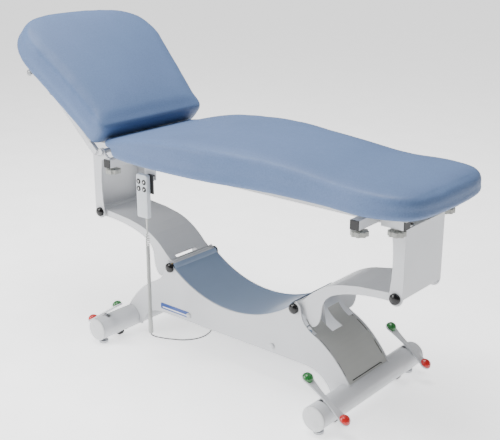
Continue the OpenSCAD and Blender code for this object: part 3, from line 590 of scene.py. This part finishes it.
def main_pad():
    """The wide pad on the bed: its underside lifts over the hinge and tucks in more at the foot."""
    node = frame["nodes"]["main_pad"]
    solid = np.array([v.co for v in node.data.vertices])
    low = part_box("main_board")[0][2] + REST_GAP
    ring = rim_of(solid[solid[:, 2] > low + 0.028][:, :2])
    head_lift = HEAD_UNDERSIDE - low + REST_GAP
    u, h = crown_line(solid[:, [0, 2]], low + 0.06)
    soft_u, soft_h = soften(u, h, 200, 60, (u[0], u[0] + 0.001))
    piece = pad_shell("main_pad_cover", ring,
                      lambda x: float(np.interp(x, soft_u, soft_h)) - low - SWELL_ROOM,
                      lambda a, b, c: Vector((a, b, low + c)), 0.005, 0.26,
                      base=lambda x: head_lift * (1 - ramp01(x - MID_X, -0.456, -0.426)),
                      tuck=lambda x: 0.014 + 0.016 * ramp01(x - MID_X, 0.60, 0.74))
    inflate(piece, lambda p: ramp01(p.z, low + 0.012, low + 0.04)
            * ramp01(p.x - MID_X, -0.505, -0.44))
    smoothing(piece)
    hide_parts("main_pad")
    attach(piece, "bed")


def to_back(points):
    """(s, y, n) of points in the row frame."""
    c, k = math.cos(BACK_ANGLE), math.sin(BACK_ANGLE)
    dx, dz = points[:, 0] - HINGE.x, points[:, 2] - HINGE.z
    return np.c_[-dx * c + dz * k, points[:, 1], dx * k + dz * c]


def back_pad():
    """The back section's pad, made in (s, y, n) and stood up on its boards."""
    solid = to_back(np.array([v.co for v in frame["nodes"]["back_pad"].data.vertices]))
    low = REST_GAP
    ring = rim_of(solid[solid[:, 2] > 0.028][:, :2])
    u, h = crown_line(solid[:, [0, 2]], 0.05)
    soft_u, soft_h = soften(u, h, 120, 40, (u[0] + 0.02, u[0] + 0.10))
    piece = pad_shell("back_pad_cover", ring,
                      lambda s: float(np.interp(s, soft_u, soft_h)) - low - SWELL_ROOM,
                      lambda a, b, c: on_back(a, b, low + c), 0.006, 0.22)
    def share(p):
        n = (p.x - HINGE.x) * math.sin(BACK_ANGLE) + (p.z - HINGE.z) * math.cos(BACK_ANGLE)
        s = (HINGE.x - p.x) * math.cos(BACK_ANGLE) + (p.z - HINGE.z) * math.sin(BACK_ANGLE)
        return ramp01(n, low + 0.012, low + 0.04) * ramp01(s, 0.035, 0.10)
    inflate(piece, share)
    smoothing(piece)
    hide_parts("back_pad")
    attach(piece, "back_section")


main_pad()
back_pad()


# ---- Handset ----

def handset():
    """Rounded case with a tapered boot, dark rings round the buttons and an arrow on each."""
    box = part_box("handset_shell")
    x0, x1, y0, y1, z1 = box[0][0], box[1][0], box[0][1], box[1][1], box[1][2]
    z0 = COIL_TOP + 0.042
    mid_x, mid_z = (x0 + x1) / 2, (z0 + z1) / 2
    case = prism("handset_case", round_box(x1 - x0, z1 - z0, 0.007, 6),
                 lambda u, v, w: Vector((mid_x + u, w, mid_z + v)), y0, y1, mats["handset_grey"], 0.0035, 4)
    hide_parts("handset_shell")
    boot = lathe("cord_boot", [(0.0, 0.043), (0.0050, 0.043), (0.0050, 0.036), (0.0042, 0.034),
                               (0.0046, 0.028), (0.0039, 0.026), (0.0042, 0.020), (0.0035, 0.018),
                               (0.0037, 0.012), (0.0031, 0.010), (0.0029, 0.0), (0.0, 0.0)],
                 Vector((COIL_X, COIL_Y, COIL_TOP)), UP, mats["cord_white"], 24)
    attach(case, "handset")
    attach(boot, "handset")
    for name, turn in (("raise", 0), ("lower", 180), ("back_up", 45), ("back_down", 225)):
        low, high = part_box("button_" + name)
        centre = Vector(((low[0] + high[0]) / 2, y0 - 0.0002, (low[2] + high[2]) / 2))
        r = (high[0] - low[0]) / 2
        ring = lathe("ring_" + name,
                     [(r + 0.0001, 0.001), (r + 0.0001, -0.0007), (r + 0.0009, -0.0009),
                      (r + 0.0017, -0.0003), (r + 0.0018, 0.001), (r + 0.0001, 0.001)],
                     centre, (0, 1, 0), mats["black_plastic"], 36)
        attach(ring, "handset")
        c, k = math.cos(math.radians(turn)), math.sin(math.radians(turn))
        arrow = [(0.0, 0.0045), (-0.0036, 0.0006), (-0.0013, 0.0006), (-0.0013, -0.0042), (0.0013, -0.0042),
                 (0.0013, 0.0006), (0.0036, 0.0006)]
        face = low[1]
        icon = prism("icon_" + name, arrow,
                     lambda u, v, w, m=centre, c=c, k=k:
                     Vector((m.x + u * c + v * k, w, m.z + v * c - u * k)),
                     face - 0.00025, face + 0.0003, icon_white)
        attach(icon, "button_" + name + "_body")


handset()


# ---- Small pieces on the base ----

# Outer face of the side plates; the round dip's radius, its centre's height and half its length;
# thickness of the rims; depth of the slits' lie below the cover's own line.
PLATE_Y = 0.120
DIP_R = 0.450
DIP_Z = 0.678
DIP_HALF = 0.268
RIM_T = 0.0016
COVER_IN = 0.005
# Length of the cover along its curve, roughly.
COVER_LONG = 0.23


def trough_rims():
    """Folded edges along the blue sheet, just inside the side plates."""
    end = math.asin(DIP_HALF / DIP_R)
    for name, y0, y1 in (("near", -0.1157, -0.1085), ("far", 0.1085, 0.1157)):
        arc = [-end + 2 * end * i / 60 for i in range(61)]
        outline = [(DIP_R * math.sin(a), DIP_Z - DIP_R * math.cos(a)) for a in arc]
        inner_r = DIP_R - RIM_T
        outline += [(inner_r * math.sin(a), DIP_Z - inner_r * math.cos(a)) for a in arc[::-1]]
        rim = prism("trough_rim_" + name, outline, lambda u, v, w: at(u, w, v), y0, y1,
                    mats["blue_panel"], 0.0005, 2)
        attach(rim, "base")


def cover_point(t, y, lift, side):
    """A point over the curved cover: t runs from its top down to the tube, side is 1 at the foot."""
    a, b, c = (0.372, 0.244), (0.462, 0.206), (0.535, 0.088)
    p = [(1 - t) ** 2 * a[i] + 2 * t * (1 - t) * b[i] + t * t * c[i] for i in (0, 1)]
    v = [2 * (1 - t) * (b[i] - a[i]) + 2 * t * (c[i] - b[i]) for i in (0, 1)]
    size = math.hypot(*v)
    drop = COVER_IN - lift
    return at(side * (p[0] + drop * v[1] / size), y, p[1] - drop * v[0] / size)


def slit(name, path, width, side):
    """A dark strip lying on the cover along path, a list of (t, y); its colour is painted shade in place of
    the open slot.
    """
    points = []
    for i, (t, y) in enumerate(path):
        ahead = Vector(path[min(i + 1, len(path) - 1)]) - Vector(path[max(i - 1, 0)])
        ahead = Vector((ahead.x * COVER_LONG, ahead.y)).normalized()
        for half in (-width / 2, width / 2):
            for lift in (-0.0004, 0.00035):
                points.append(cover_point(t - ahead.y * half / COVER_LONG, y + ahead.x * half,
                                          lift, side))
    faces = []
    for i in range(len(path) - 1):
        k = 4 * i
        faces += [[k, k + 4, k + 5, k + 1], [k + 2, k + 3, k + 7, k + 6], [k + 1, k + 5, k + 7, k + 3],
                  [k, k + 2, k + 6, k + 4]]
    faces += [[0, 1, 3, 2], [len(points) - 4, len(points) - 2, len(points) - 1, len(points) - 3]]
    piece = new_mesh(name, points, faces, painted_slot_shade, smooth=False)
    tidy_mesh(piece, 0.00001)
    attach(piece, "base")


def cover_slits():
    for end, side in (("foot", 1), ("head", -1)):
        for row, y in (("near", -0.110), ("far", 0.110)):
            for number, (t0, t1) in enumerate(((0.0, 0.035), (0.13, 0.38), (0.57, 0.79))):
                slit("cover_slit_%s_%s_%d" % (end, row, number + 1),
                     [(t0 + (t1 - t0) * i / 10, y) for i in range(11)], 0.0026, side)
        hook = [(0.885 + 0.015 * (1 - math.cos(math.radians(a))), 0.078 + 0.008 * math.sin(math.radians(a)))
                for a in (15, 40, 65, 90, 115)]
        slit("cover_slot_" + end, [(0.885, -0.088 + 0.166 * i / 12) for i in range(13)] + hook, 0.0030, side)


def badge():
    """A plain blue nameplate with one pale line in place of lettering."""
    mid = at(-0.272, 0, 0.150)
    front = -PLATE_Y - 0.0012
    plate = prism("name_badge", round_box(0.148, 0.024, 0.005, 4),
                  lambda u, v, w: Vector((mid.x + u, w, mid.z + v)), front, -PLATE_Y + 0.0006,
                  badge_blue, 0.0004, 2)
    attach(plate, "base")
    bar = prism("badge_bar", round_box(0.128, 0.0045, 0.002, 4),
                lambda u, v, w: Vector((mid.x + u, w, mid.z - 0.004 + v)), front - 0.0002, front + 0.0003,
                icon_white)
    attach(bar, "base")


# The floor tubes' axis, and where their end plugs begin.
TUBE_X, TUBE_Z = 0.5115, 0.062
CAP_JOINT_Y = 0.3000


def cap_grooves():
    """A shallow dark joint line round each floor tube's end plug."""
    for end in (-1, 1):
        for side in (-1, 1):
            ring = lathe("tube_joint_%s_%s" % ("foot" if end > 0 else "head", "far" if side > 0 else "near"),
                         [(0.0428, -0.0006), (0.0432, -0.0006), (0.0432, 0.0006), (0.0428, 0.0006),
                          (0.0428, -0.0006)],
                         at(end * TUBE_X, side * CAP_JOINT_Y, TUBE_Z), (0, 1, 0), mats["rod_grey"], 56)
            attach(ring, "base")


trough_rims()
cover_slits()
badge()
cap_grooves()


# ---- Stage ----

def make_stage():
    """A wide pale floor that glows a little, as studio paper does under its own lights."""
    size = 60
    points = [Vector((x, y, 0)) for x, y in ((-size, -size), (size, -size), (size, size), (-size, size))]
    paper = finish_material("floor_paper", (0.96, 0.96, 0.96), 0.8)
    shader = paper.node_tree.nodes["Principled BSDF"]
    shader.inputs["Emission Color"].default_value = (1, 1, 1, 1)
    shader.inputs["Emission Strength"].default_value = 1.25
    floor = new_mesh("floor", points, [[0, 1, 2, 3]], paper)


def area_light(name, place, size, power):
    """A soft rectangular light, aimed at the couch's middle."""
    data = bpy.data.lights.new(name, "AREA")
    data.shape = "RECTANGLE"
    data.size = size[0]
    data.size_y = size[1]
    data.energy = power
    light = bpy.data.objects.new(name, data)
    light.location = place
    light.rotation_euler = (Vector((0, 0, 0.5)) - Vector(place)).to_track_quat("-Z", "Y").to_euler()
    bpy.context.collection.objects.link(light)


make_stage()
area_light("key", (-2.3, -3.3, 2.4), (2.6, 2.2), 180)
area_light("top", (-0.5, -0.2, 4.2), (3.0, 2.6), 285)
world = bpy.data.worlds.new("studio")
world.use_nodes = True
background = world.node_tree.nodes["Background"]
background.inputs["Color"].default_value = (1, 1, 1, 1)
background.inputs["Strength"].default_value = 0.33
bpy.context.scene.world = world
